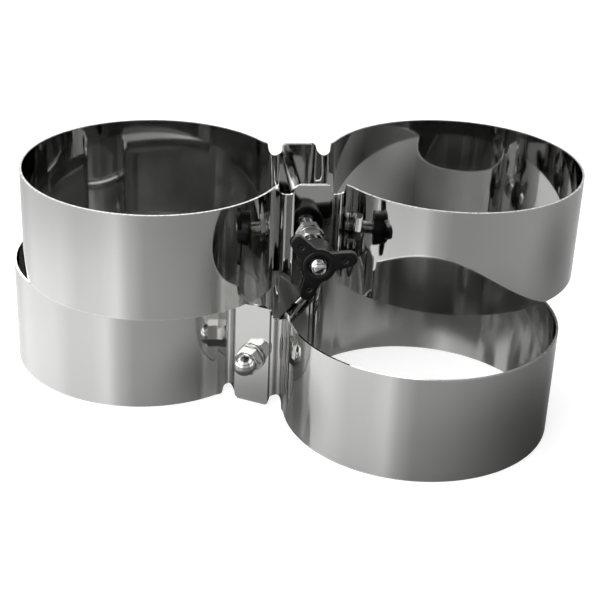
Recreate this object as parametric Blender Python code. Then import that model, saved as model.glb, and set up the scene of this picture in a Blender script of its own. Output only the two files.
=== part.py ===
"""Pair of twin-cylinder straps: two identical figure-of-eight bands, one laid on the other.

Lengths are written in millimetres and turned into metres by mm(). Each band is modelled in
its own frame: the long axis along X, the hand-knob side towards -Y, the band's lower rim at
Z = 0. Pieces on the clamping bolt are modelled about Z, which is then laid along -Y.
"""
import math

import bmesh
import bpy
from mathutils import Matrix, Vector


def mm(value):
    return value * 0.001


# strap sheet
CYLINDER_R = 92.0            # the straps close round a cylinder of 184 mm diameter
SHEET = 1.5                  # sheet thickness
RING_MID_R = CYLINDER_R + SHEET / 2
CENTRES = 216.0              # distance between the two cylinders, 8.5 in
STRAP_H = 76.2               # 3 in strip
GAP = 0.3                    # air left between pieces that touch

# valley between the rings, and the flat plate in its middle
RING_END_X = 27.0            # where the strap leaves the cylinder
RING_END_Y = math.sqrt(RING_MID_R ** 2 - (CENTRES / 2 - RING_END_X) ** 2)
VALLEY_X = 19.5
VALLEY_Y = 36.5
PLATE_FACE_Y = 42.5          # outer face of the outer tab
OUTER_TAB_Y = PLATE_FACE_Y - SHEET / 2
INNER_TAB_Y = OUTER_TAB_Y - SHEET - GAP
OUTER_TAB_CORNER_X = 12.9
OUTER_TAB_END_X = 12.7
INNER_TAB_END_X = 10.0
TAB_ROUND = 2.2              # round corners of a tab's free end
FLARE_R = 20.0               # bends, at the middle of the sheet
VALLEY_R = 4.0
PLATE_R = 2.5
ARC_STEP = math.radians(3.5)
BEND_STEPS = 4
TAB_STEPS = 3

# relief notches in both rims, one over each valley
NOTCH_RING_X = 23.6
NOTCH_PLATE_X = 10.4
NOTCH_CHAMFER = 1.8
NOTCH_ROUND_R = 5.2
NOTCH_DEPTH = 8.3
NOTCH_Y = (30.0, 60.0)

# clamping bolt, M10
BOLT_R = 5.0
BOLT_HOLE_R = BOLT_R + GAP
BOLT_Z = 36.3                # height of the bolt above the band's lower rim
BOLT_KNOB_END = 93.0         # measured from the band's middle
BOLT_CAP_END = 58.3
BOLT_CHAMFER = 1.0
WASHER_R = 10.0
WASHER_T = 2.0
NUT_AF = 17.0
NUT_H = 8.0
NUT_CHAMFER = 30.0           # degrees
CAP_DOME_R = 8.0
CAP_H = 18.0
CAP_HOLE_DEPTH = 14.6

# hand knob with three lobes
HUB_BACK = 68.5              # where the knob starts, from the band's middle
HUB_H = 20.0
HUB_R = 12.4
HUB_BACK_R = 12.6
HUB_ROUND = 1.5
LOBE_T = 6.0
LOBE_FRONT = 19.5            # front of the lobes, from the back of the hub
LOBE_TIP_R = 5.0
LOBE_CENTRE_R = 22.0
LOBE_ROOT_ANGLE = math.radians(36.0)
LOBE_COUNT = 3
LOBE_PHASE = math.radians(11.5)
INSERT_R = 7.0
INSERT_H = 14.0
KNOB_MOUTH_R = 6.2

# how the two bands lie
UPPER_LIFT = STRAP_H + GAP
LOWER_OFFSET = (-21.49, -35.82)
LOWER_TURN = math.radians(151.2)

ROUND_STEPS = 32
SMALL_STEPS = 28
LOBE_STEPS = 84
DOME_STEPS = 6
NOTCH_STEPS = 8
WELD = 1e-6                  # metres, for points that a Boolean leaves double

STEEL = ((0.62, 0.62, 0.61), 0.22, 1.0)
BRIGHT_STEEL = ((0.72, 0.72, 0.71), 0.15, 1.0)
BLACK_PLASTIC = ((0.02, 0.02, 0.022), 0.35, 0.0)
DULL_STEEL = ((0.55, 0.55, 0.54), 0.3, 1.0)


def clear_scene():
    for item in list(bpy.data.objects):
        bpy.data.objects.remove(item, do_unlink=True)


def material(name, look):
    colour, roughness, metallic = look
    mat = bpy.data.materials.new(name)
    mat.use_nodes = True
    shader = mat.node_tree.nodes["Principled BSDF"]
    shader.inputs["Base Color"].default_value = (*colour, 1.0)
    shader.inputs["Roughness"].default_value = roughness
    shader.inputs["Metallic"].default_value = metallic
    mat.diffuse_color = (*colour, 1.0)
    return mat


# ---------------------------------------------------------------- mesh helpers

def object_from_bmesh(name, bm):
    bmesh.ops.recalc_face_normals(bm, faces=bm.faces)
    mesh = bpy.data.meshes.new(name)
    bm.to_mesh(mesh)
    bm.free()
    obj = bpy.data.objects.new(name, mesh)
    bpy.context.scene.collection.objects.link(obj)
    return obj


def sweep_closed(name, loops):
    """Skin a list of equal vertex loops, end to end, and close both ends."""
    bm = bmesh.new()
    rings = [[bm.verts.new([mm(c) for c in point]) for point in loop] for loop in loops]
    for first, second in zip(rings, rings[1:]):
        for i in range(len(first)):
            j = (i + 1) % len(first)
            bm.faces.new((first[i], first[j], second[j], second[i]))
    bm.faces.new(rings[0])
    bm.faces.new(rings[-1])
    return object_from_bmesh(name, bm)


def lathe_bored(name, profile, steps=ROUND_STEPS):
    """Turn a closed (radius, height) profile about Z. No point lies on the axis."""
    bm = bmesh.new()
    rings = []
    for k in range(steps):
        angle = 2 * math.pi * k / steps
        cos, sin = math.cos(angle), math.sin(angle)
        rings.append([bm.verts.new((mm(r * cos), mm(r * sin), mm(z))) for r, z in profile])
    for k in range(steps):
        first, second = rings[k], rings[(k + 1) % steps]
        for i in range(len(profile)):
            j = (i + 1) % len(profile)
            bm.faces.new((first[i], first[j], second[j], second[i]))
    return object_from_bmesh(name, bm)


def lathe_solid(name, profile, steps=ROUND_STEPS):
    """Turn an open (radius, height) profile about Z and close it with flat ends."""
    loops = []
    for r, z in profile:
        angles = [2 * math.pi * k / steps for k in range(steps)]
        loops.append([(r * math.cos(a), r * math.sin(a), z) for a in angles])
    return sweep_closed(name, loops)


def prism(name, outline, low, high):
    """Outline in X and Y, from Z = low to Z = high."""
    return sweep_closed(name, [[(x, y, z) for x, y in outline] for z in (low, high)])


def boolean(obj, other, operation):
    """Apply an exact Boolean and drop the second object."""
    modifier = obj.modifiers.new(operation, "BOOLEAN")
    modifier.operation = operation
    modifier.solver = "EXACT"
    modifier.object = other
    graph = bpy.context.evaluated_depsgraph_get()
    baked = bpy.data.meshes.new_from_object(obj.evaluated_get(graph))
    obj.modifiers.clear()
    obj.data = weld(baked)
    bpy.data.objects.remove(other, do_unlink=True)
    return obj


def weld(mesh):
    """Merge double points and drop the slivers between them."""
    bm = bmesh.new()
    bm.from_mesh(mesh)
    bmesh.ops.remove_doubles(bm, verts=bm.verts, dist=WELD)
    bmesh.ops.dissolve_degenerate(bm, edges=bm.edges, dist=WELD)
    bm.to_mesh(mesh)
    bm.free()
    return mesh


def finish(obj, look, smooth_angle=32.0):
    obj.data.materials.clear()
    obj.data.materials.append(material(obj.name, look))
    obj.data.shade_smooth()
    obj.data.set_sharp_from_angle(angle=math.radians(smooth_angle))
    return obj


# ---------------------------------------------------------------- straps

def round_corner(before, corner, after, radius):
    """Arc that rounds off one corner of the sheet's middle line."""
    to_before = (Vector(before) - Vector(corner)).normalized()
    to_after = (Vector(after) - Vector(corner)).normalized()
    half = to_before.angle(to_after) / 2
    bisector = (to_before + to_after).normalized()
    centre = Vector(corner) + bisector * (radius / math.sin(half))
    start = Vector(corner) + to_before * (radius / math.tan(half))
    end = Vector(corner) + to_after * (radius / math.tan(half))
    points = []
    for k in range(BEND_STEPS + 1):
        spoke = (start - centre).normalized().slerp((end - centre).normalized(), k / BEND_STEPS)
        points.append(tuple(centre + spoke * radius))
    return points


def tab_end(end_x, y):
    """Points that carry the round corners of a tab's free end, from the end inwards."""
    points = []
    for k in range(TAB_STEPS + 1):
        angle = math.pi / 2 * k / TAB_STEPS
        points.append((end_x - TAB_ROUND * (1 - math.cos(angle)), y))
    return points


def strap_line():
    """Middle line of the strap of the -X ring, from its outer tab at -Y to its inner tab."""
    wall_slope = (OUTER_TAB_Y - VALLEY_Y) / (VALLEY_X - OUTER_TAB_CORNER_X)
    inner_corner_x = VALLEY_X - (INNER_TAB_Y - VALLEY_Y) / wall_slope
    end_angle = math.atan2(RING_END_Y, CENTRES / 2 - RING_END_X)
    sweep = 2 * math.pi - 2 * end_angle
    steps = round(sweep / ARC_STEP)
    ring = []
    for k in range(steps + 1):
        angle = -end_angle - sweep * k / steps
        ring.append((RING_MID_R * math.cos(angle) - CENTRES / 2, RING_MID_R * math.sin(angle)))
    outer_tab = tab_end(OUTER_TAB_END_X, -OUTER_TAB_Y)
    inner_tab = tab_end(INNER_TAB_END_X, INNER_TAB_Y)
    outer_corner = (-OUTER_TAB_CORNER_X, -OUTER_TAB_Y)
    inner_corner = (-inner_corner_x, INNER_TAB_Y)
    outer_valley = (-VALLEY_X, -VALLEY_Y)
    inner_valley = (-VALLEY_X, VALLEY_Y)
    line = list(outer_tab)
    line += round_corner(outer_tab[-1], outer_corner, outer_valley, PLATE_R)
    line += round_corner(outer_corner, outer_valley, ring[0], VALLEY_R)
    line += round_corner(outer_valley, ring[0], ring[1], FLARE_R)
    line += ring[1:-1]
    line += round_corner(ring[-2], ring[-1], inner_valley, FLARE_R)
    line += round_corner(ring[-1], inner_valley, inner_corner, VALLEY_R)
    line += round_corner(inner_valley, inner_corner, inner_tab[-1], PLATE_R)
    line += reversed(inner_tab)
    return line


def corner_inset(point, line):
    """How far the rims are drawn in at a point, for the round corners of the free ends."""
    to_end = min((Vector(point) - Vector(end)).length for end in (line[0], line[-1]))
    past = max(0.0, TAB_ROUND - to_end)
    return TAB_ROUND - math.sqrt(TAB_ROUND ** 2 - past ** 2)


def sheet_loops(line):
    """Four corners of the sheet's section at every point of its middle line."""
    loops = []
    for i, point in enumerate(line):
        before = Vector(line[max(i - 1, 0)])
        after = Vector(line[min(i + 1, len(line) - 1)])
        into = (Vector(point) - before).normalized() if i else Vector((0, 0))
        out = (after - Vector(point)).normalized() if i < len(line) - 1 else Vector((0, 0))
        along = (into + out).normalized()
        normal = Vector((-along.y, along.x))
        turn = into.dot(out) if into.length and out.length else 1.0
        half = SHEET / 2 / math.sqrt((1 + turn) / 2)
        a = Vector(point) + normal * half
        b = Vector(point) - normal * half
        low = corner_inset(point, line)
        high = STRAP_H - low
        loops.append([(a.x, a.y, low), (b.x, b.y, low), (b.x, b.y, high), (a.x, a.y, high)])
    return loops


def notch_outline():
    """Half-round notch over a valley: distance from the band's middle, and depth from the rim."""
    round_x = (NOTCH_RING_X + NOTCH_PLATE_X + NOTCH_CHAMFER) / 2
    round_z = NOTCH_DEPTH - NOTCH_ROUND_R
    over = 5.0               # the cutter stands this far over the rim
    outline = [(NOTCH_RING_X, -over), (NOTCH_RING_X, 0.0)]
    for k in range(NOTCH_STEPS + 1):
        angle = math.pi * k / NOTCH_STEPS
        outline.append((round_x + NOTCH_ROUND_R * math.cos(angle),
                        round_z + NOTCH_ROUND_R * math.sin(angle)))
    outline += [(NOTCH_PLATE_X + NOTCH_CHAMFER, NOTCH_CHAMFER), (NOTCH_PLATE_X, 0.0),
                (NOTCH_PLATE_X, -over)]
    return outline


def notch_cutter(side_y, at_top):
    loops = []
    for y in NOTCH_Y:
        loop = []
        for x, depth in notch_outline():
            z = STRAP_H - depth if at_top else depth
            loop.append((-x, side_y * y, z))
        loops.append(loop)
    return sweep_closed("cutter", loops)


def bolt_hole_cutter():
    reach = PLATE_FACE_Y + 10
    hole = lathe_solid("cutter", [(BOLT_HOLE_R, -reach), (BOLT_HOLE_R, reach)], SMALL_STEPS)
    lay = Matrix.Translation((0, 0, mm(BOLT_Z))) @ Matrix.Rotation(math.pi / 2, 4, "X")
    hole.data.transform(lay)
    return hole


def strap(name, half_turn):
    """One strap. Both straps of a band are the same piece, half a turn apart."""
    obj = sweep_closed(name, sheet_loops(strap_line()))
    for side_y in (-1, 1):
        for at_top in (False, True):
            boolean(obj, notch_cutter(side_y, at_top), "DIFFERENCE")
    boolean(obj, bolt_hole_cutter(), "DIFFERENCE")
    if half_turn:
        obj.data.transform(Matrix.Rotation(math.pi, 4, "Z"))
    return finish(obj, STEEL)


# ---------------------------------------------------------------- pieces on the bolt

def bolt(name):
    c = BOLT_CHAMFER
    profile = [(BOLT_R - c, -BOLT_CAP_END), (BOLT_R, -BOLT_CAP_END + c),
               (BOLT_R, BOLT_KNOB_END - c), (BOLT_R - c, BOLT_KNOB_END)]
    return finish(lathe_solid(name, profile, SMALL_STEPS), BRIGHT_STEEL)


def washer(name):
    profile = [(BOLT_HOLE_R, 0), (WASHER_R, 0), (WASHER_R, WASHER_T), (BOLT_HOLE_R, WASHER_T)]
    return finish(lathe_bored(name, profile, SMALL_STEPS), BRIGHT_STEEL)


def chamfered_hexagon(name):
    """Hexagon prism of height NUT_H with its corners turned off at both ends."""
    corner_r = NUT_AF / 2 / math.cos(math.pi / 6)
    outline = []
    for k in range(6):
        angle = math.pi / 3 * k
        outline.append((corner_r * math.cos(angle), corner_r * math.sin(angle)))
    obj = prism(name, outline, 0, NUT_H)
    face_r = NUT_AF / 2 - 0.2
    wide_r = corner_r + 1.0
    drop = (wide_r - face_r) * math.tan(math.radians(NUT_CHAMFER))
    profile = [(face_r, 0), (wide_r, drop), (wide_r, NUT_H - drop), (face_r, NUT_H)]
    return boolean(obj, lathe_solid("cutter", profile), "INTERSECT")


def hex_nut(name):
    obj = chamfered_hexagon(name)
    hole = lathe_solid("cutter", [(BOLT_HOLE_R, -1), (BOLT_HOLE_R, NUT_H + 1)], SMALL_STEPS)
    return finish(boolean(obj, hole, "DIFFERENCE"), BRIGHT_STEEL, 20.0)


def cap_nut(name):
    obj = chamfered_hexagon(name)
    dome_base = CAP_H - CAP_DOME_R
    profile = [(CAP_DOME_R, NUT_H / 2)]
    for k in range(DOME_STEPS):
        angle = math.pi / 2 * k / DOME_STEPS
        profile.append((CAP_DOME_R * math.cos(angle), dome_base + CAP_DOME_R * math.sin(angle)))
    boolean(obj, lathe_solid("cutter", profile), "UNION")
    hole = lathe_solid("cutter", [(BOLT_HOLE_R, -1), (BOLT_HOLE_R, CAP_HOLE_DEPTH)], SMALL_STEPS)
    return finish(boolean(obj, hole, "DIFFERENCE"), BRIGHT_STEEL, 20.0)


def lobe_radius(angle):
    """Edge of the lobed plate at one angle from the middle of its nearest lobe."""
    tip_edge = math.asin(LOBE_TIP_R / LOBE_CENTRE_R) * 0.94
    if angle <= tip_edge:
        across = LOBE_CENTRE_R * math.sin(angle)
        return LOBE_CENTRE_R * math.cos(angle) + math.sqrt(LOBE_TIP_R ** 2 - across ** 2)
    if angle >= LOBE_ROOT_ANGLE:
        return HUB_R
    share = (angle - tip_edge) / (LOBE_ROOT_ANGLE - tip_edge)
    blend = (1 - share) ** 2
    return HUB_R + (lobe_radius(tip_edge) - HUB_R) * blend


def lobe_outline():
    pitch = 2 * math.pi / LOBE_COUNT
    outline = []
    for k in range(LOBE_STEPS):
        angle = 2 * math.pi * k / LOBE_STEPS
        from_lobe = abs((angle + pitch / 2) % pitch - pitch / 2)
        radius = lobe_radius(from_lobe)
        outline.append((radius * math.cos(angle), radius * math.sin(angle)))
    return outline


def knob(name):
    """Hub about Z from 0 to HUB_H, with the lobed plate near its front."""
    edge = HUB_ROUND
    profile = [(HUB_BACK_R - edge, 0), (HUB_BACK_R, edge), (HUB_R - 0.05, LOBE_FRONT - LOBE_T),
               (HUB_R - 0.05, HUB_H - edge), (HUB_R - edge, HUB_H)]
    obj = lathe_solid(name, profile)
    plate = prism("cutter", lobe_outline(), LOBE_FRONT - LOBE_T, LOBE_FRONT)
    boolean(obj, plate, "UNION")
    seat_r = INSERT_R + GAP
    mouth = lathe_solid("cutter", [(KNOB_MOUTH_R, 1), (KNOB_MOUTH_R, HUB_H + 1)], SMALL_STEPS)
    boolean(obj, mouth, "DIFFERENCE")
    seat = lathe_solid("cutter", [(seat_r, -1), (seat_r, INSERT_H + 2 * GAP)], SMALL_STEPS)
    boolean(obj, seat, "DIFFERENCE")
    obj.data.transform(Matrix.Rotation(LOBE_PHASE, 4, "Z"))
    return finish(obj, BLACK_PLASTIC)


def knob_insert(name):
    profile = [(BOLT_HOLE_R, 0), (INSERT_R, 0), (INSERT_R, INSERT_H), (BOLT_HOLE_R, INSERT_H)]
    return finish(lathe_bored(name, profile, SMALL_STEPS), DULL_STEEL)


# ---------------------------------------------------------------- assembly

def on_bolt(obj, band, distance, away=True):
    """Lay a piece on the band's bolt, starting at this distance from the band's middle.

    away=True faces the knob side, which is -Y of the band, and away=False the other side.
    """
    side = -1 if away else 1
    obj.parent = band
    obj.location = (0, mm(side * distance), mm(BOLT_Z))
    obj.rotation_euler = (-side * math.pi / 2, 0, 0)


def build_band(prefix, place, turn, lift):
    band = bpy.data.objects.new(prefix + "_band", None)
    bpy.context.scene.collection.objects.link(band)
    band.location = (mm(place[0]), mm(place[1]), mm(lift))
    band.rotation_euler = (0, 0, turn)
    for name, half_turn in (("left_strap", False), ("right_strap", True)):
        strap(f"{prefix}_{name}", half_turn).parent = band
    on_bolt(bolt(f"{prefix}_clamp_bolt"), band, 0)
    first = PLATE_FACE_Y + GAP
    second = first + WASHER_T + GAP
    on_bolt(washer(f"{prefix}_knob_side_washer"), band, first)
    on_bolt(hex_nut(f"{prefix}_hex_nut"), band, second)
    on_bolt(washer(f"{prefix}_cap_side_washer"), band, first, False)
    on_bolt(cap_nut(f"{prefix}_cap_nut"), band, second, False)
    on_bolt(knob(f"{prefix}_hand_knob"), band, HUB_BACK)
    on_bolt(knob_insert(f"{prefix}_knob_insert"), band, HUB_BACK + GAP)
    return band


def centre_on_floor(bands):
    """Move both bands so that the box round them stands on the origin."""
    bpy.context.view_layer.update()
    corners = []
    for obj in bpy.context.scene.objects:
        if obj.type == "MESH":
            corners += [obj.matrix_world @ vertex.co for vertex in obj.data.vertices]
    for axis in (0, 1):
        middle = (min(c[axis] for c in corners) + max(c[axis] for c in corners)) / 2
        for band in bands:
            band.location[axis] -= middle


clear_scene()
centre_on_floor([
    build_band("upper", (0.0, 0.0), 0.0, UPPER_LIFT),
    build_band("lower", LOWER_OFFSET, LOWER_TURN, 0.0),
])
bpy.context.view_layer.update()
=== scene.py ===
"""Looks for the pair of twin-cylinder bands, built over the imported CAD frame.

Lengths are in millimetres until mm() turns them into metres. A band's own frame has its long
axis along X, its hand-knob side towards -Y and its lower rim at Z = 0. Pieces on the clamping
bolt are made about Z and laid along the bolt afterwards.
"""

import math

import bmesh
import bpy
from mathutils import Matrix, Vector


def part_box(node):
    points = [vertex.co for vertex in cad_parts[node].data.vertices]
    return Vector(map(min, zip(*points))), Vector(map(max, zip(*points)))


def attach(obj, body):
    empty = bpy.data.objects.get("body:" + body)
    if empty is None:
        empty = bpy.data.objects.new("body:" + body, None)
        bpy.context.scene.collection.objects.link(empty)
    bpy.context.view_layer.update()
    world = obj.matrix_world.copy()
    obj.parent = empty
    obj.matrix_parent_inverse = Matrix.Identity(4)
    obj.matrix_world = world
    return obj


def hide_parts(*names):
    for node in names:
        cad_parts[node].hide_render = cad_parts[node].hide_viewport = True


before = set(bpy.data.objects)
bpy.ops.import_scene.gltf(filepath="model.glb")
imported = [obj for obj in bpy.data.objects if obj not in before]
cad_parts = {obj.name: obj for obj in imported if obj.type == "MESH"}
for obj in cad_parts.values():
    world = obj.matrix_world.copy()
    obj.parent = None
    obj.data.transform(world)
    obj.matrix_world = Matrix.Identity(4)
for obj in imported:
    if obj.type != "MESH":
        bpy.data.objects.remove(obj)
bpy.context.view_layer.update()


def mm(value):
    return value * 0.001


# strap sheet, as in the CAD
SHEET = 1.5
RING_MID_R = 92.75
CENTRES = 216.0
STRAP_H = 76.2
GAP = 0.3
RING_END_X = 27.0
RING_END_Y = math.sqrt(RING_MID_R ** 2 - (CENTRES / 2 - RING_END_X) ** 2)
VALLEY_X = 19.5
VALLEY_Y = 36.5
PLATE_FACE_Y = 42.5
OUTER_TAB_Y = PLATE_FACE_Y - SHEET / 2
INNER_TAB_Y = OUTER_TAB_Y - SHEET - GAP
OUTER_TAB_CORNER_X = 12.9
OUTER_TAB_END_X = 12.7
INNER_TAB_END_X = 10.0
TAB_ROUND = 2.2
FLARE_R = 20.0
FLARE_REACH = 3.6
VALLEY_R = 4.0
PLATE_R = 2.5
ARC_STEP = math.radians(1.0)
BEND_STEPS = 10
TAB_STEPS = 10
RIM_ROUND = 0.28
RIM_WEAR_AND_HIGHLIGHT = 0.9              # the rims are rubbed, with a painted highlight, this far down
CREASE_REACH = 14.0         # how far a bend sees the sheet beside it

NOTCH_RING_X = 23.6
NOTCH_PLATE_X = 10.4
NOTCH_CHAMFER = 1.8
NOTCH_ROUND_R = 5.2
NOTCH_DEPTH = 8.3
NOTCH_Y = (30.0, 60.0)
NOTCH_STEPS = 20
PAST_RIM = 5.0              # how far the notch cutter stands out of the strap

# pieces on the bolt, as in the CAD
BOLT_R = 5.0
BOLT_HOLE_R = 5.3
BOLT_Z = 36.3
BOLT_KNOB_END = 93.0
BOLT_CAP_END = 58.3
BOLT_CHAMFER = 0.5
BOLT_DOME_R = 9.0
DOME_RINGS = 9
THREAD_PITCH = 1.5
THREAD_DEPTH = 0.75
THREAD_START = 44.0
THREAD_RUN_OUT = 0.4
THREAD_CREST = 0.12         # share of half a pitch that is crest
THREAD_FLANK = 0.72         # share of half a pitch that is flank
RINGS_PER_PITCH = 8
WASHER_R = 10.0
WASHER_T = 2.0
WASHER_EDGE = 0.35
NUT_AF = 17.0
NUT_H = 8.0
NUT_FACE_INSET = 0.2
NUT_CHAMFER_ANGLE = math.radians(30.0)
NUT_COUNTERSINK = 0.6
CAP_DOME_R = 8.0
CAP_NECK_R = 7.5
CAP_H = 18.0
CAP_HOLE_DEPTH = 14.6
CAP_RINGS = 24
HUB_BACK = 68.5
HUB_H = 20.0
HUB_R = 12.4
HUB_BACK_R = 12.6
HUB_BACK_EDGE = 1.5
HUB_RIM_R = HUB_R - 1.6     # the low boss round the bolt starts here
HUB_RIM_EDGE = 1.2
LOBE_T = 6.0
LOBE_FRONT = 19.5
LOBE_EDGE = 1.4
LOBE_INNER_R = HUB_R - 0.2  # the lobed outline stays outside this
LOBE_TIP_R = 5.0
LOBE_CENTRE_R = 22.0
LOBE_ROOT_ANGLE = math.radians(36.0)
LOBE_COUNT = 3
LOBE_PHASE = math.radians(11.5)
DIMPLE_CENTRE_R = 18.3
DIMPLE_R = 2.0
DIMPLE_DEPTH = 0.6
FACE_RINGS = 40
INSERT_R = 7.0
INSERT_H = 14.0
INSERT_EDGE = 0.3
KNOB_MOUTH_R = 6.2
LOWER_TURN = math.radians(151.2)

TURN_STEPS = 96
SMALL_STEPS = 48
LOBE_STEPS = 240
EDGE_STEPS = 4

# room light: grey by heading in degrees, and by height (0.5 is the horizon, 1 overhead)
WALL_LIGHT = [(-180, 0.6), (-150, 0.6), (-130, 1.0), (-90, 1.0), (-70, 0.75), (-50, 0.8),
              (-34, 1.0), (-24, 0.5), (-10, 0.2), (15, 0.2), (50, 0.15), (100, 0.08),
              (130, 0.06), (150, 0.3), (180, 0.6)]
SKY_LIGHT = [(0.5, 1.0), (0.6, 1.0), (0.63, 0.35), (0.69, 0.35), (0.72, 1.2), (0.83, 1.2),
             (0.9, 0.2), (1.0, 0.08)]
WORLD_STRENGTH = 5.0
# painted shadows on the mirrored table, soft dark patches: place and radius in metres, and strength
TABLE_SHADE = [((0.17, -0.10), 0.21, 0.65), ((0.42, 0.0), 0.2, 0.4),
               ((-0.035, -0.045), 0.09, 0.55), ((0.1, -0.3), 0.45, 0.25),
               ((0.077, -0.052), 0.12, 0.35)]
# sheets under the object, in metres
FLOOR_Z = -0.0004
TABLE_Z = -0.0008
FLOOR_HALF = 6.0
# camera: angles, then metres from the middle of the upper band, height and lens
CAMERA_YAW = math.radians(7.56)
CAMERA_PITCH = math.radians(26.53)
CAMERA_ROLL = math.radians(2.54)
CAMERA_FROM_BAND = (-0.12267, -0.92492)
CAMERA_HEIGHT = 0.50918
CAMERA_LENS = 83.49
CAMERA_SENSOR = 36.0


# ---------------------------------------------------------------- mesh helpers

def new_object(name, bm):
    bmesh.ops.recalc_face_normals(bm, faces=bm.faces)
    mesh = bpy.data.meshes.new(name)
    bm.to_mesh(mesh)
    bm.free()
    obj = bpy.data.objects.new(name, mesh)
    bpy.context.scene.collection.objects.link(obj)
    return obj


def skin(name, loops, closed_ends=True, ring=False):
    """Quads between equal vertex loops. ring=True also joins the last loop to the first."""
    bm = bmesh.new()
    rows = [[bm.verts.new([mm(c) for c in point]) for point in loop] for loop in loops]
    pairs = list(zip(rows, rows[1:]))
    if ring:
        pairs.append((rows[-1], rows[0]))
    for first, second in pairs:
        for i in range(len(first)):
            j = (i + 1) % len(first)
            bm.faces.new((first[i], first[j], second[j], second[i]))
    if closed_ends and not ring:
        bm.faces.new(rows[0])
        bm.faces.new(rows[-1])
    return new_object(name, bm)


def circle(radius, z, steps=TURN_STEPS):
    angles = [2 * math.pi * k / steps for k in range(steps)]
    return [(radius * math.cos(a), radius * math.sin(a), z) for a in angles]


def turned(name, profile, bored, steps=TURN_STEPS):
    """Turn a (radius, height) profile about Z, as a bored ring or a solid with flat ends."""
    return skin(name, [circle(r, z, steps) for r, z in profile], not bored, bored)


def boolean(obj, other, operation):
    modifier = obj.modifiers.new(operation, "BOOLEAN")
    modifier.operation = operation
    modifier.solver = "EXACT"
    modifier.object = other
    bake(obj)
    bpy.data.objects.remove(other, do_unlink=True)
    return obj


def bake(obj):
    """Apply the modifiers and merge the double points that a Boolean leaves."""
    graph = bpy.context.evaluated_depsgraph_get()
    mesh = bpy.data.meshes.new_from_object(obj.evaluated_get(graph))
    obj.modifiers.clear()
    bm = bmesh.new()
    bm.from_mesh(mesh)
    bmesh.ops.remove_doubles(bm, verts=bm.verts, dist=1e-6)
    bmesh.ops.dissolve_degenerate(bm, edges=bm.edges, dist=1e-6)
    bm.to_mesh(mesh)
    bm.free()
    obj.data = mesh


def round_edges(obj, width, segments=2, angle=30.0):
    bevel = obj.modifiers.new("edges", "BEVEL")
    bevel.width = mm(width)
    bevel.segments = segments
    bevel.limit_method = "ANGLE"
    bevel.angle_limit = math.radians(angle)
    bake(obj)
    shade(obj)
    normals = obj.modifiers.new("normals", "WEIGHTED_NORMAL")
    normals.keep_sharp = True
    normals.weight = 100


def shade(obj, sharp_angle=60.0):
    obj.data.shade_smooth()
    obj.data.set_sharp_from_angle(angle=math.radians(sharp_angle))


# ---------------------------------------------------------------- straps

def round_corner(before, corner, after, radius):
    to_before = (Vector(before) - Vector(corner)).normalized()
    to_after = (Vector(after) - Vector(corner)).normalized()
    half = to_before.angle(to_after) / 2
    bisector = (to_before + to_after).normalized()
    centre = Vector(corner) + bisector * (radius / math.sin(half))
    first = (Vector(corner) + to_before * (radius / math.tan(half)) - centre).normalized()
    last = (Vector(corner) + to_after * (radius / math.tan(half)) - centre).normalized()
    return [tuple(centre + first.slerp(last, k / BEND_STEPS) * radius)
            for k in range(BEND_STEPS + 1)]


def tab_end(end_x, y):
    """Points that carry the round corners of a tab's free end, from the end inwards."""
    angles = [math.pi / 2 * k / TAB_STEPS for k in range(TAB_STEPS + 1)]
    return [(end_x - TAB_ROUND * (1 - math.cos(a)), y) for a in angles]


def strap_line():
    """Middle line of the strap of the -X ring, from its outer tab at -Y to its inner tab."""
    wall_slope = (OUTER_TAB_Y - VALLEY_Y) / (VALLEY_X - OUTER_TAB_CORNER_X)
    inner_corner_x = VALLEY_X - (INNER_TAB_Y - VALLEY_Y) / wall_slope
    end_angle = math.atan2(RING_END_Y, CENTRES / 2 - RING_END_X)
    sweep = 2 * math.pi - 2 * end_angle
    steps = round(sweep / ARC_STEP)
    ring = []
    for k in range(steps + 1):
        angle = -end_angle - sweep * k / steps
        ring.append((RING_MID_R * math.cos(angle) - CENTRES / 2, RING_MID_R * math.sin(angle)))
    outer_tab = tab_end(OUTER_TAB_END_X, -OUTER_TAB_Y)
    inner_tab = tab_end(INNER_TAB_END_X, INNER_TAB_Y)
    outer_corner = (-OUTER_TAB_CORNER_X, -OUTER_TAB_Y)
    inner_corner = (-inner_corner_x, INNER_TAB_Y)
    outer_valley = (-VALLEY_X, -VALLEY_Y)
    inner_valley = (-VALLEY_X, VALLEY_Y)
    # the flare takes up some of the arc, so the arc's nearest points give way
    skip = math.ceil(FLARE_REACH / (RING_MID_R * ARC_STEP))
    line = list(outer_tab)
    line += round_corner(outer_tab[-1], outer_corner, outer_valley, PLATE_R)
    line += round_corner(outer_corner, outer_valley, ring[0], VALLEY_R)
    line += round_corner(outer_valley, ring[0], ring[skip], FLARE_R)
    line += ring[skip:-skip]
    line += round_corner(ring[-1 - skip], ring[-1], inner_valley, FLARE_R)
    line += round_corner(ring[-1], inner_valley, inner_corner, VALLEY_R)
    line += round_corner(inner_valley, inner_corner, inner_tab[-1], PLATE_R)
    line += reversed(inner_tab)
    return line


def corner_inset(point, line):
    """How far the rims are drawn in at a point, for the round corners of the free ends."""
    to_end = min((Vector(point) - Vector(end)).length for end in (line[0], line[-1]))
    past = max(0.0, TAB_ROUND - to_end)
    return TAB_ROUND - math.sqrt(TAB_ROUND ** 2 - past ** 2)


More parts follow.
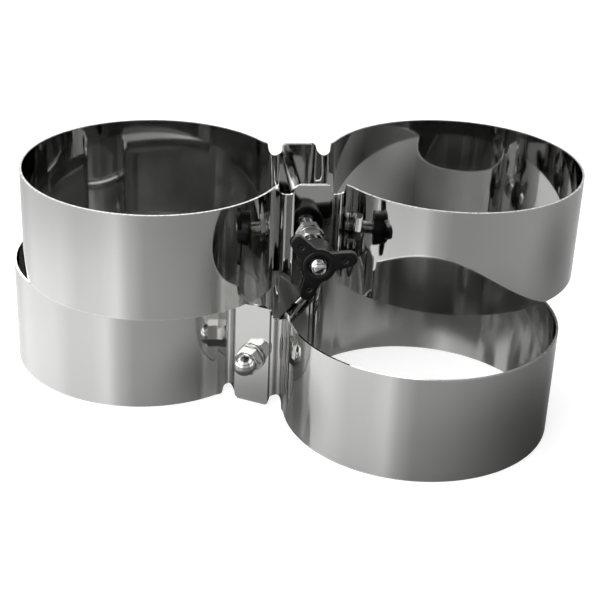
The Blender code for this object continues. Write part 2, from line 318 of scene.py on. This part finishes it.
def sheet_loops(line):
    """Four corners of the sheet's section at every point of its middle line."""
    loops = []
    for i, point in enumerate(line):
        here = Vector(point)
        into = (here - Vector(line[i - 1])).normalized() if i else None
        out = (Vector(line[i + 1]) - here).normalized() if i < len(line) - 1 else None
        into, out = into or out, out or into
        along = (into + out).normalized()
        half = SHEET / 2 / math.sqrt((1 + into.dot(out)) / 2)
        normal = Vector((-along.y, along.x)) * half
        a, b = here + normal, here - normal
        low = corner_inset(point, line)
        high = STRAP_H - low
        loops.append([(a.x, a.y, low), (b.x, b.y, low), (b.x, b.y, high), (a.x, a.y, high)])
    return loops


def notch_cutter(side_y, at_top):
    middle_x = (NOTCH_RING_X + NOTCH_PLATE_X + NOTCH_CHAMFER) / 2
    outline = [(NOTCH_RING_X, -PAST_RIM), (NOTCH_RING_X, 0.0)]
    for k in range(NOTCH_STEPS + 1):
        angle = math.pi * k / NOTCH_STEPS
        outline.append((middle_x + NOTCH_ROUND_R * math.cos(angle),
                        NOTCH_DEPTH - NOTCH_ROUND_R + NOTCH_ROUND_R * math.sin(angle)))
    outline += [(NOTCH_PLATE_X + NOTCH_CHAMFER, NOTCH_CHAMFER), (NOTCH_PLATE_X, 0.0),
                (NOTCH_PLATE_X, -PAST_RIM)]
    loops = []
    for y in NOTCH_Y:
        loops.append([(-x, side_y * y, STRAP_H - depth if at_top else depth)
                      for x, depth in outline])
    return skin("cutter", loops)


def add_sheet_uv(obj, line):
    """UV in metres: U along the sheet, V up it, so the grain follows the rolled sheet."""
    points = [Vector(p) * mm(1) for p in line]
    lengths = [0.0]
    for a, b in zip(points, points[1:]):
        lengths.append(lengths[-1] + (b - a).length)
    uv = obj.data.uv_layers.new(name="sheet")
    columns = {}
    for loop in obj.data.loops:
        index = loop.vertex_index
        if index not in columns:
            columns[index] = lengths[index // 4]
        uv.data[loop.index].uv = (columns[index], obj.data.vertices[index].co.z)


def strap(name, half_turn):
    line = strap_line()
    obj = skin(name, sheet_loops(line))
    add_sheet_uv(obj, line)
    for side_y in (-1, 1):
        for at_top in (False, True):
            boolean(obj, notch_cutter(side_y, at_top), "DIFFERENCE")
    reach = PLATE_FACE_Y + 10
    hole = turned("cutter", [(BOLT_HOLE_R, -reach), (BOLT_HOLE_R, reach)], False, SMALL_STEPS)
    lay = Matrix.Translation((0, 0, mm(BOLT_Z))) @ Matrix.Rotation(math.pi / 2, 4, "X")
    hole.data.transform(lay)
    boolean(obj, hole, "DIFFERENCE")
    if half_turn:
        obj.data.transform(Matrix.Rotation(math.pi, 4, "Z"))
    round_edges(obj, RIM_ROUND)
    return obj


# ---------------------------------------------------------------- pieces on the bolt

def thread_radius(height, angle):
    """Radius of a 60 degree thread, as a function of height and angle round the bolt."""
    turn = (height / THREAD_PITCH - angle / (2 * math.pi)) % 1.0
    from_crest = abs(turn - 0.5) * 2
    sink = min(1.0, max(0.0, (from_crest - THREAD_CREST) / THREAD_FLANK))
    return BOLT_R - THREAD_DEPTH * sink


def bolt_ring(z, limit=BOLT_R):
    loop = []
    for k in range(SMALL_STEPS):
        angle = 2 * math.pi * k / SMALL_STEPS
        radius = min(limit, thread_radius(z, angle)) if abs(z) > THREAD_START else limit
        loop.append((radius * math.cos(angle), radius * math.sin(angle), z))
    return loop


def clamp_bolt(name):
    """Smooth middle and a real helix at both ends. Z runs towards the knob end."""
    rise = THREAD_PITCH / RINGS_PER_PITCH
    loops = []
    z = -BOLT_CAP_END
    while z < -THREAD_START:
        loops.append(bolt_ring(z, BOLT_R - max(0.0, BOLT_CHAMFER - (z + BOLT_CAP_END))))
        z += rise
    loops.append(bolt_ring(-THREAD_START + THREAD_RUN_OUT))
    loops.append(bolt_ring(THREAD_START - THREAD_RUN_OUT))
    z = THREAD_START + rise
    while z < BOLT_KNOB_END - rise / 2:
        loops.append(bolt_ring(z, BOLT_R - max(0.0, BOLT_CHAMFER - (BOLT_KNOB_END - z))))
        z += rise
    for k in range(DOME_RINGS):
        radius = (BOLT_R - BOLT_CHAMFER) * (1 - k / DOME_RINGS)
        sink = BOLT_DOME_R - math.sqrt(BOLT_DOME_R ** 2 - radius ** 2)
        loops.append(circle(radius, BOLT_KNOB_END - sink, SMALL_STEPS))
    obj = skin(name, loops)
    shade(obj, 50)
    return obj


def washer(name):
    edge = WASHER_EDGE
    profile = [(BOLT_HOLE_R, edge / 2), (BOLT_HOLE_R + edge / 2, 0), (WASHER_R - edge, 0),
               (WASHER_R, edge), (WASHER_R, WASHER_T - edge), (WASHER_R - edge, WASHER_T),
               (BOLT_HOLE_R + edge, WASHER_T), (BOLT_HOLE_R, WASHER_T - edge)]
    obj = turned(name, profile, True)
    shade(obj, 30)
    return obj


def hexagon(name):
    """Hexagon of height NUT_H with its corners turned off on both faces."""
    corner_r = NUT_AF / 2 / math.cos(math.pi / 6)
    loop = [(corner_r * math.cos(math.pi / 3 * k), corner_r * math.sin(math.pi / 3 * k))
            for k in range(6)]
    obj = skin(name, [[(x, y, z) for x, y in loop] for z in (0, NUT_H)])
    face_r = NUT_AF / 2 - NUT_FACE_INSET
    wide_r = corner_r + 1.0
    drop = (wide_r - face_r) * math.tan(NUT_CHAMFER_ANGLE)
    profile = [(face_r, 0), (wide_r, drop), (wide_r, NUT_H - drop), (face_r, NUT_H)]
    return boolean(obj, turned("cutter", profile, False), "INTERSECT")


def hex_nut(name):
    obj = hexagon(name)
    wide_r = BOLT_HOLE_R + NUT_COUNTERSINK + 1
    hole = [(wide_r, -1), (BOLT_HOLE_R, NUT_COUNTERSINK), (BOLT_HOLE_R, NUT_H - NUT_COUNTERSINK),
            (wide_r, NUT_H + 1)]
    boolean(obj, turned("cutter", hole, False, SMALL_STEPS), "DIFFERENCE")
    round_edges(obj, 0.15, 2, 20)
    return obj


def cap_nut(name):
    obj = hexagon(name)
    dome_base = CAP_H - CAP_DOME_R
    profile = [(CAP_NECK_R, NUT_H / 2), (CAP_NECK_R, NUT_H + 0.2), (CAP_DOME_R, NUT_H + 0.8)]
    for k in range(CAP_RINGS):
        angle = math.pi / 2 * k / CAP_RINGS
        profile.append((CAP_DOME_R * math.cos(angle), dome_base + CAP_DOME_R * math.sin(angle)))
    boolean(obj, turned("cutter", profile, False), "UNION")
    hole = [(BOLT_HOLE_R, -1), (BOLT_HOLE_R, CAP_HOLE_DEPTH)]
    boolean(obj, turned("cutter", hole, False, SMALL_STEPS), "DIFFERENCE")
    round_edges(obj, 0.12, 2, 24)
    return obj


def lobe_radius(angle):
    """Radius of the knob's outline at an angle from the middle of a lobe."""
    tip_edge = math.asin(LOBE_TIP_R / LOBE_CENTRE_R) * 0.94
    if angle <= tip_edge:
        across = LOBE_CENTRE_R * math.sin(angle)
        return LOBE_CENTRE_R * math.cos(angle) + math.sqrt(LOBE_TIP_R ** 2 - across ** 2)
    if angle >= LOBE_ROOT_ANGLE:
        return HUB_R
    share = (angle - tip_edge) / (LOBE_ROOT_ANGLE - tip_edge)
    return HUB_R + (lobe_radius(tip_edge) - HUB_R) * (1 - share) ** 2


def dimple_sink(reach):
    """Depth of a lobe's dimple from 0 to 1, with a button in its middle, by dimple radii."""
    bowl = max(0.0, min(1.0, (1.15 - reach) / 0.3))
    button = 0.7 * max(0.0, 1 - reach / 0.7)
    return bowl - button


def quarter_circle():
    """(sine, cosine) pairs from 0 to 90 degrees, for rounded edges."""
    angles = [math.pi / 2 * k / EDGE_STEPS for k in range(EDGE_STEPS + 1)]
    return [(math.sin(a), math.cos(a)) for a in angles]


def knob(name):
    """Hub and lobes as one turned skin whose radius swells at the lobes."""
    pitch = 2 * math.pi / LOBE_COUNT
    angles = [2 * math.pi * k / LOBE_STEPS for k in range(LOBE_STEPS)]
    from_lobe = [abs((a + pitch / 2) % pitch - pitch / 2) for a in angles]
    edge = [lobe_radius(a) for a in from_lobe]
    lobe_back = LOBE_FRONT - LOBE_T
    seat_r = INSERT_R + GAP
    seat_top = INSERT_H + 2 * GAP

    def at(radii, z):
        return [(r * math.cos(a), r * math.sin(a), z) for r, a in zip(radii, angles)]

    def round_at(radius, z):
        return at([radius] * LOBE_STEPS, z)

    def lobes_at(inset, z):
        return at([max(LOBE_INNER_R, r - inset) for r in edge], z)

    def front_face(share):
        """One loop of the lobed front, from the hub's rim (0) to the lobes' edge (1)."""
        loop = []
        for r, a, off in zip(edge, angles, from_lobe):
            outside = max(LOBE_INNER_R, r - LOBE_EDGE)
            radius = HUB_RIM_R + (outside - HUB_RIM_R) * share
            along, across = radius * math.cos(off), radius * math.sin(off)
            reach = math.hypot(along - DIMPLE_CENTRE_R, across) / DIMPLE_R
            z = LOBE_FRONT - DIMPLE_DEPTH * dimple_sink(reach)
            loop.append((radius * math.cos(a), radius * math.sin(a), z))
        return loop

    loops = [round_at(seat_r, seat_top), round_at(seat_r, 0.4), round_at(seat_r + 0.4, 0)]
    for sine, cosine in quarter_circle():
        loops.append(round_at(HUB_BACK_R - HUB_BACK_EDGE * (1 - sine),
                              HUB_BACK_EDGE * (1 - cosine)))
    loops.append(round_at((HUB_BACK_R + HUB_R) / 2, lobe_back / 2))
    loops.append(round_at(HUB_R - 0.35, lobe_back - 1.0))
    loops.append(round_at(LOBE_INNER_R, lobe_back - 0.2))
    for sine, cosine in quarter_circle():
        loops.append(lobes_at(LOBE_EDGE * (1 - sine), lobe_back + LOBE_EDGE * (1 - cosine)))
    for sine, cosine in quarter_circle():
        loops.append(lobes_at(LOBE_EDGE * (1 - cosine), LOBE_FRONT - LOBE_EDGE * (1 - sine)))
    for k in range(1, FACE_RINGS + 1):
        loops.append(front_face(1 - k / FACE_RINGS))
    for sine, cosine in quarter_circle()[1:]:
        loops.append(round_at(HUB_RIM_R - HUB_RIM_EDGE * (1 - cosine),
                              LOBE_FRONT + (HUB_H - LOBE_FRONT) * sine))
    loops.append(round_at(KNOB_MOUTH_R + 0.5, HUB_H))
    loops.append(round_at(KNOB_MOUTH_R, HUB_H - 0.5))
    loops.append(round_at(KNOB_MOUTH_R, seat_top))
    obj = skin(name, loops, False, True)
    obj.data.transform(Matrix.Rotation(LOBE_PHASE, 4, "Z"))
    shade(obj, 50)
    return obj


def knob_insert(name):
    edge = INSERT_EDGE
    profile = [(BOLT_HOLE_R, edge), (BOLT_HOLE_R + edge, 0), (INSERT_R - edge, 0),
               (INSERT_R, edge), (INSERT_R, INSERT_H), (BOLT_HOLE_R, INSERT_H)]
    obj = turned(name, profile, True)
    shade(obj, 30)
    return obj


# ---------------------------------------------------------------- materials

class Nodes:
    """Short-hand for building the node tree of a material or of the world."""

    def __init__(self, owner):
        owner.use_nodes = True
        self.owner = owner
        self.tree = owner.node_tree
        self.shader = self.tree.nodes.get("Principled BSDF")

    def feed(self, value, socket):
        """Link another node's socket, or set a plain value."""
        if isinstance(value, bpy.types.NodeSocket):
            self.tree.links.new(value, socket)
        else:
            socket.default_value = value

    def paint(self, value, socket_name):
        self.feed(value, self.shader.inputs[socket_name])

    def add(self, kind, **inputs):
        node = self.tree.nodes.new(kind)
        for key, value in inputs.items():
            self.feed(value, node.inputs[key.replace("_", " ")])
        return node

    def calculate(self, operation, *values):
        node = self.add("ShaderNodeMath")
        node.operation = operation
        for value, socket in zip(values, node.inputs):
            self.feed(value, socket)
        return node.outputs[0]

    def multiply(self, first, second):
        return self.calculate("MULTIPLY", first, second)

    def compare_vectors(self, operation, first, second):
        """One number from two vectors, such as their distance or dot product."""
        node = self.add("ShaderNodeVectorMath")
        node.operation = operation
        self.feed(first, node.inputs[0])
        self.feed(second, node.inputs[1])
        return node.outputs["Value"]

    def coordinates(self, scale, uv=False):
        source = self.add("ShaderNodeTexCoord").outputs["UV" if uv else "Object"]
        return self.add("ShaderNodeMapping", Vector=source, Scale=scale).outputs[0]

    def noise(self, scale, detail=3.0, uv=False, stretch=(1, 1, 1)):
        place = self.coordinates(stretch, uv)
        return self.add("ShaderNodeTexNoise", Vector=place, Scale=scale, Detail=detail).outputs[0]

    def spread(self, value, low, high, from_low=0.35, from_high=0.65):
        """Map a value's range to the range from low to high; the usual one suits a noise."""
        node = self.add("ShaderNodeMapRange", Value=value, From_Min=from_low, From_Max=from_high,
                        To_Min=low, To_Max=high)
        return node.outputs[0]

    def mix_colour(self, factor, first, second):
        node = self.add("ShaderNodeMix")
        node.data_type = "RGBA"
        self.feed(factor, node.inputs[0])
        for colour, socket in ((first, node.inputs[6]), (second, node.inputs[7])):
            self.feed((*colour, 1) if isinstance(colour, tuple) else colour, socket)
        return node.outputs[2]

    def mix_value(self, factor, first, second):
        node = self.add("ShaderNodeMix")
        for value, socket in zip((factor, first, second), (0, 2, 3)):
            self.feed(value, node.inputs[socket])
        return node.outputs[0]

    def grey_ramp(self, value, stops):
        """Greys from a list of (position, grey)."""
        ramp = self.add("ShaderNodeValToRGB", Fac=value)
        elements = ramp.color_ramp.elements
        while len(elements) < len(stops):
            elements.new(0.5)
        for element, (position, grey) in zip(elements, stops):
            element.position = position
            element.color = (grey, grey, grey, 1)
        return ramp.outputs[0]

    def edge_wear(self, reach, noise_scale):
        """1 along sharp edges, broken up by noise, and 0 on the faces."""
        rounded = self.add("ShaderNodeBevel", Radius=reach).outputs[0]
        face = self.add("ShaderNodeNewGeometry").outputs["Normal"]
        same = self.compare_vectors("DOT_PRODUCT", rounded, face)
        edge = self.spread(same, 1.0, 0.0, 0.88, 0.995)
        return self.multiply(edge, self.spread(self.noise(noise_scale), 0.2, 1.0))

    def crease(self, reach, deep, clear):
        """1 in narrow bends and corners, 0 on open faces."""
        open_sky = self.add("ShaderNodeAmbientOcclusion", Distance=reach)
        open_sky.samples = 8
        open_sky.only_local = True
        return self.spread(open_sky.outputs["AO"], 1.0, 0.0, deep, clear)

    def bump(self, height, strength, distance):
        node = self.add("ShaderNodeBump", Height=height, Strength=strength, Distance=distance)
        self.paint(node.outputs[0], "Normal")


def new_material(name):
    return Nodes(bpy.data.materials.new(name))


def sheet_steel(name):
    """Polished rolled sheet: grain along the strap, faint smears, worn rims with a painted
    highlight, painted shade in the bends.
    """
    n = new_material(name)
    grain = n.noise(1.0, 2.0, True, (60, 9000, 1))
    speckle = n.noise(1400.0, 2.0, True)
    smear = n.noise(22.0, 4.0, True)
    polished = n.mix_colour(smear, (0.50, 0.50, 0.49), (0.56, 0.56, 0.55))
    dusty = n.mix_colour(n.spread(speckle, 0.0, 0.5), polished, (0.46, 0.46, 0.44))
    height = n.add("ShaderNodeSeparateXYZ", Vector=n.coordinates((1, 1, 1), True)).outputs["Y"]
    # rubbed wear with a painted highlight: the top and bottom rim bands are lighter and rougher
    inside = n.calculate("COMPARE", height, mm(STRAP_H / 2), mm(STRAP_H / 2 - RIM_WEAR_AND_HIGHLIGHT))
    rim = n.spread(inside, 1.0, 0.0, 0.0, 1.0)
    wear = n.multiply(rim, n.spread(n.noise(500.0, 3.0, True), 0.0, 1.0))
    rim_worn_and_highlit = n.mix_colour(wear, dusty, (0.66, 0.66, 0.65))
    # painted shade: bends and corners, where the sheet shades itself, are mixed towards dark grey
    painted_crease_shade = n.crease(mm(CREASE_REACH), 0.4, 0.85)
    n.paint(n.mix_colour(painted_crease_shade, rim_worn_and_highlit, (0.15, 0.15, 0.145)), "Base Color")
    n.paint(n.mix_value(wear, n.spread(grain, 0.035, 0.065), 0.2), "Roughness")
    n.paint(1.0, "Metallic")
    n.bump(grain, 0.03, mm(0.01))
    return n.owner


def fastener_steel(name, dull=0.0):
    """Polished turned steel with small handling marks and brighter, rubbed edges."""
    n = new_material(name)
    marks = n.noise(900.0, 3.0)
    lines = n.noise(1.0, 2.0, False, (300, 300, 5000))
    low, high = 0.34 - dull, 0.46 - dull
    body = n.mix_colour(marks, (low, low, low - 0.01), (high, high, high - 0.01))
    wear = n.edge_wear(mm(0.35), 1200.0)
    n.paint(n.mix_colour(wear, body, (0.7, 0.7, 0.69)), "Base Color")
    n.paint(n.spread(marks, 0.05 + dull, 0.11 + dull), "Roughness")
    n.paint(1.0, "Metallic")
    n.bump(n.mix_value(marks, lines, 0.5), 0.08, mm(0.03))
    return n.owner


def black_plastic(name):
    """Moulded plastic with a fine leather-like skin, rubbed paler along its edges."""
    n = new_material(name)
    cloud = n.noise(120.0, 3.0)
    body = n.mix_colour(cloud, (0.0026, 0.0026, 0.0029), (0.005, 0.005, 0.0055))
    wear = n.edge_wear(mm(0.8), 900.0)
    n.paint(n.mix_colour(wear, body, (0.008, 0.008, 0.0085)), "Base Color")
    n.paint(n.spread(cloud, 0.26, 0.38), "Roughness")
    n.paint(0.24, "Specular IOR Level")
    n.bump(n.noise(2600.0, 2.0), 0.15, mm(0.05))
    return n.owner


def floor_white(name):
    """White floor that shines a little, so that it looks the same all over."""
    n = new_material(name)
    cloud = n.noise(3.0, 2.0)
    n.paint(n.mix_colour(cloud, (0.46, 0.46, 0.46), (0.5, 0.5, 0.5)), "Base Color")
    n.paint(0.9, "Roughness")
    n.paint((1, 1, 1, 1), "Emission Color")
    n.paint(0.7, "Emission Strength")
    return n.owner


def table_gloss(name):
    """Glossy grey table that the steel mirrors, with painted shadows as soft dark patches round the
    object.
    """
    n = new_material(name)
    cloud = n.noise(3.0, 2.0)
    n.paint(n.mix_colour(cloud, (0.36, 0.36, 0.36), (0.4, 0.4, 0.4)), "Base Color")
    n.paint(0.12, "Roughness")
    n.paint(2.0, "IOR")
    place = n.coordinates((1, 1, 1))
    # painted shadow: inside each patch the table's shading is mixed towards black
    lit = 1.0
    for centre, radius, strength in TABLE_SHADE:
        away = n.compare_vectors("DISTANCE", place, (*centre, 0.0))
        fall = n.add("ShaderNodeMapRange", Value=away, From_Min=0.0, From_Max=radius,
                     To_Min=1.0 - strength, To_Max=1.0)
        fall.interpolation_type = "SMOOTHSTEP"
        lit = n.multiply(lit, fall.outputs[0])
    dark = n.add("ShaderNodeBsdfDiffuse", Color=(0, 0, 0, 1))
    blend = n.add("ShaderNodeMixShader")
    sources = (lit, dark.outputs[0], n.shader.outputs[0])
    for source, socket in zip(sources, blend.inputs):
        n.feed(source, socket)
    n.feed(blend.outputs[0], n.tree.nodes["Material Output"].inputs[0])
    return n.owner


# ---------------------------------------------------------------- assembly

MATERIALS = {
    "strap_steel": sheet_steel("polished_sheet_steel"),
    "fastener_steel": fastener_steel("polished_fastener_steel"),
    "black_plastic": black_plastic("black_moulded_plastic"),
    "insert_steel": fastener_steel("turned_insert_steel", 0.12),
}


def band_centre(prefix):
    """A band is the same after half a turn, so its straps' box has the band's own centre."""
    boxes = [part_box(f"{prefix}_{side}_strap") for side in ("left", "right")]
    low = [min(b[0][i] for b in boxes) for i in range(3)]
    high = [max(b[1][i] for b in boxes) for i in range(3)]
    return Vector(((low[0] + high[0]) / 2, (low[1] + high[1]) / 2, low[2]))


def place(obj, node, body, slot, matrix):
    """Lay a piece in the row frame and let it stand for its CAD node."""
    obj.data.transform(matrix)
    obj.data.materials.clear()
    obj.data.materials.append(MATERIALS[slot])
    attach(obj, body)
    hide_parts(node)


def dress_band(prefix, turn):
    band = Matrix.Translation(band_centre(prefix)) @ Matrix.Rotation(turn, 4, "Z")
    body = f"{prefix}_band"

    def on_bolt(distance, away=True):
        side = -1 if away else 1
        lift = Matrix.Translation((0, mm(side * distance), mm(BOLT_Z)))
        return band @ lift @ Matrix.Rotation(-side * math.pi / 2, 4, "X")

    for side, half_turn in (("left", False), ("right", True)):
        node = f"{prefix}_{side}_strap"
        place(strap(node + "_sheet", half_turn), node, body, "strap_steel", band)
    first = PLATE_FACE_Y + GAP
    second = first + WASHER_T + GAP
    steel = "fastener_steel"
    pieces = [
        ("clamp_bolt", clamp_bolt, body, steel, on_bolt(0)),
        ("knob_side_washer", washer, body, steel, on_bolt(first)),
        ("hex_nut", hex_nut, body, steel, on_bolt(second)),
        ("cap_side_washer", washer, body, steel, on_bolt(first, False)),
        ("cap_nut", cap_nut, body, steel, on_bolt(second, False)),
        ("hand_knob", knob, f"{prefix}_knob", "black_plastic", on_bolt(HUB_BACK)),
        ("knob_insert", knob_insert, f"{prefix}_insert", "insert_steel", on_bolt(HUB_BACK + GAP)),
    ]
    for name, make, rides_on, slot, matrix in pieces:
        node = f"{prefix}_{name}"
        place(make(node + "_detailed"), node, rides_on, slot, matrix)


dress_band("upper", 0.0)
dress_band("lower", LOWER_TURN)


# ---------------------------------------------------------------- studio

def flat_sheet(name, height, material):
    bm = bmesh.new()
    half = FLOOR_HALF
    corners = [(-half, -half), (half, -half), (half, half), (-half, half)]
    bm.faces.new([bm.verts.new((x, y, height)) for x, y in corners])
    sheet = new_object(name, bm)
    sheet.data.materials.append(material)
    return sheet


def studio_floor():
    """A white floor for the camera, and a table with painted shadows that lights and mirrors in the
    steel.
    """
    floor = flat_sheet("studio_floor", FLOOR_Z, floor_white("floor_white"))
    floor.visible_glossy = False
    floor.visible_diffuse = False
    floor.visible_shadow = False
    table = flat_sheet("studio_table", TABLE_Z, table_gloss("table_gloss"))
    table.visible_camera = False


def compass(degrees):
    """Ramp position of a heading: 0 is towards -Y, where the camera is, and -90 towards -X."""
    return (degrees + 180.0) / 360.0


def studio_world():
    """Room light by heading: bright walls to the left and behind, dim in front and to the right."""
    world = bpy.data.worlds.new("studio")
    n = Nodes(world)
    ray = n.add("ShaderNodeTexCoord").outputs["Generated"]
    axes = n.add("ShaderNodeSeparateXYZ", Vector=ray).outputs
    towards_camera = n.multiply(axes["Y"], -1.0)
    heading = n.calculate("ARCTAN2", axes["X"], towards_camera)
    stops = [(compass(degrees), grey) for degrees, grey in WALL_LIGHT]
    walls = n.grey_ramp(n.spread(heading, 0.0, 1.0, -math.pi, math.pi), stops)
    sky = n.grey_ramp(n.spread(axes["Z"], 0.0, 1.0, -1.0, 1.0), SKY_LIGHT)
    background = n.tree.nodes["Background"]
    n.feed(n.multiply(walls, sky), background.inputs["Color"])
    n.feed(WORLD_STRENGTH, background.inputs["Strength"])
    bpy.context.scene.world = world


def studio_camera():
    """Camera above and a little left of the upper band, looking down at about 27 degrees."""
    yaw, pitch, roll = CAMERA_YAW, CAMERA_PITCH, CAMERA_ROLL
    forward = Vector((math.sin(yaw) * math.cos(pitch), math.cos(yaw) * math.cos(pitch),
                      -math.sin(pitch)))
    level = Vector((math.cos(yaw), -math.sin(yaw), 0))
    above = level.cross(forward)
    right = level * math.cos(roll) + above * math.sin(roll)
    up = above * math.cos(roll) - level * math.sin(roll)
    centre = band_centre("upper")
    aside, back = CAMERA_FROM_BAND
    position = Vector((centre.x + aside, centre.y + back, CAMERA_HEIGHT))
    data = bpy.data.cameras.new("camera")
    data.sensor_width = CAMERA_SENSOR
    data.lens = CAMERA_LENS
    camera = bpy.data.objects.new("camera", data)
    bpy.context.scene.collection.objects.link(camera)
    axes = Matrix((right, up, -forward)).transposed().to_4x4()
    camera.matrix_world = Matrix.Translation(position) @ axes
    bpy.context.scene.camera = camera


studio_floor()
studio_world()
studio_camera()
bpy.context.scene.view_settings.view_transform = "Standard"
